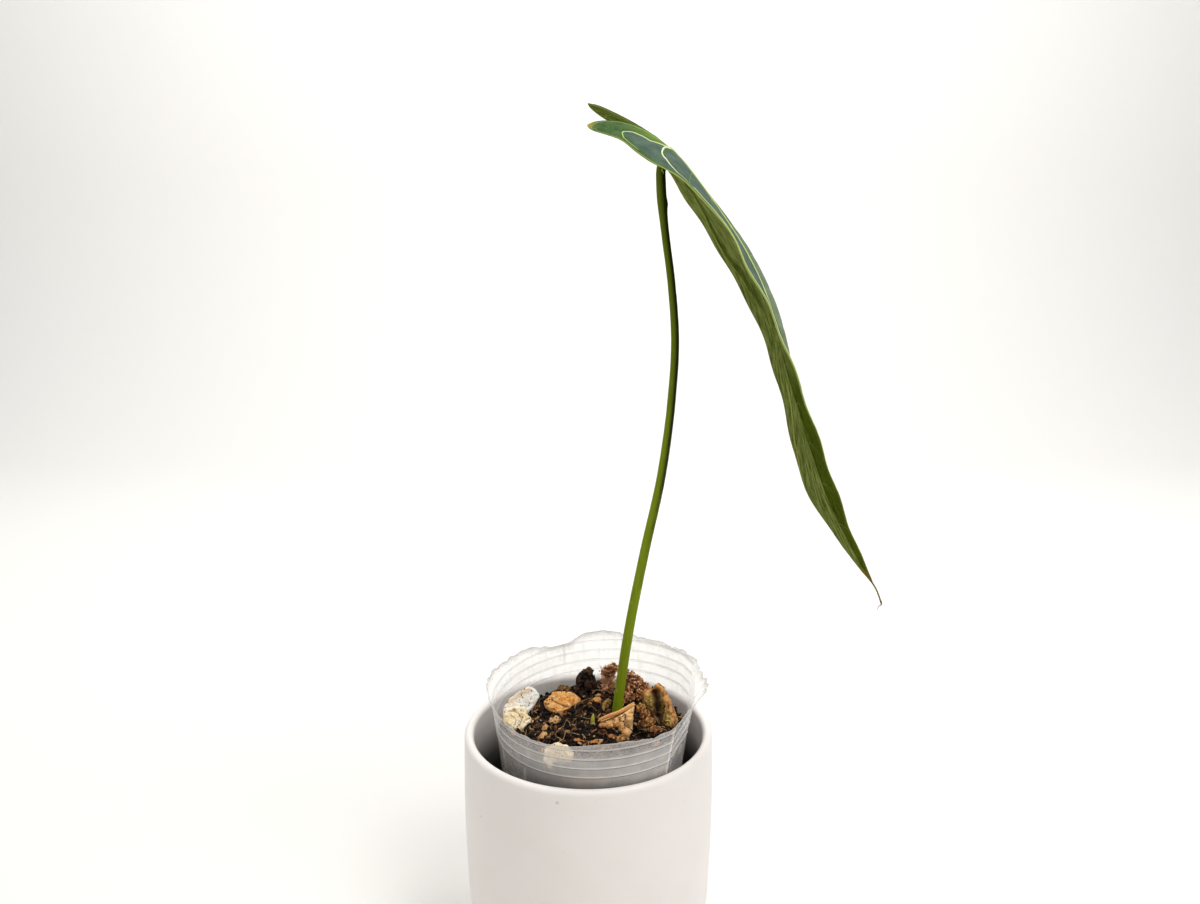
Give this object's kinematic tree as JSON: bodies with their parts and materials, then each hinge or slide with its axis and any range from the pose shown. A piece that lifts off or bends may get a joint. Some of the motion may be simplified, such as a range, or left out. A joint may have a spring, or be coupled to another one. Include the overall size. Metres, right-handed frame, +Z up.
{
  "type": "potted anthurium",
  "caption": "Potted anthurium with a long hanging velvety leaf on a thin stalk, in a torn clear nursery cup of bark mix set in a round white ceramic pot.",
  "frame": {"origin": "centre of the pot's flat base", "axes": "+Z up, +X towards the side where the leaf hangs out, +Y away from the camera of the picture"},
  "size_m": [0.1734, 0.106, 0.3559],
  "materials": {
    "pot_ceramic": "matt white glaze",
    "clear_plastic": "thin clear plastic, scuffed",
    "potting_mix": "dark damp fibrous mix",
    "pale_bark": "dry cream bark",
    "orange_bark": "dry orange-brown bark",
    "tan_bark": "dry tan bark",
    "mossy_bark": "rough bark with moss",
    "dark_bark": "damp dark bark",
    "coir": "coarse coir fibre",
    "petiole_green": "smooth living stem",
    "leaf_green": "velvety living leaf",
    "shoot_green": "tender new growth"
  },
  "bodies": {
    "root": {"pot": "pot_ceramic", "nursery_cup": "clear_plastic", "potting_mix": "potting_mix", "bark_pale_back": "pale_bark", "bark_pale_front": "pale_bark", "bark_cream": "pale_bark", "bark_orange": "orange_bark", "bark_front": "orange_bark", "bark_curl": "orange_bark", "bark_bit_orange": "orange_bark", "bark_bit_middle": "tan_bark", "bark_bit_left": "tan_bark", "bark_bit_front": "tan_bark", "bark_bit_stem": "mossy_bark", "bark_bit_back": "mossy_bark", "bark_mossy": "mossy_bark", "bark_dark": "dark_bark", "coir_clump": "coir", "petiole": "petiole_green", "leaf_blade": "leaf_green", "new_shoot": "shoot_green"}
  },
  "joints": []
}
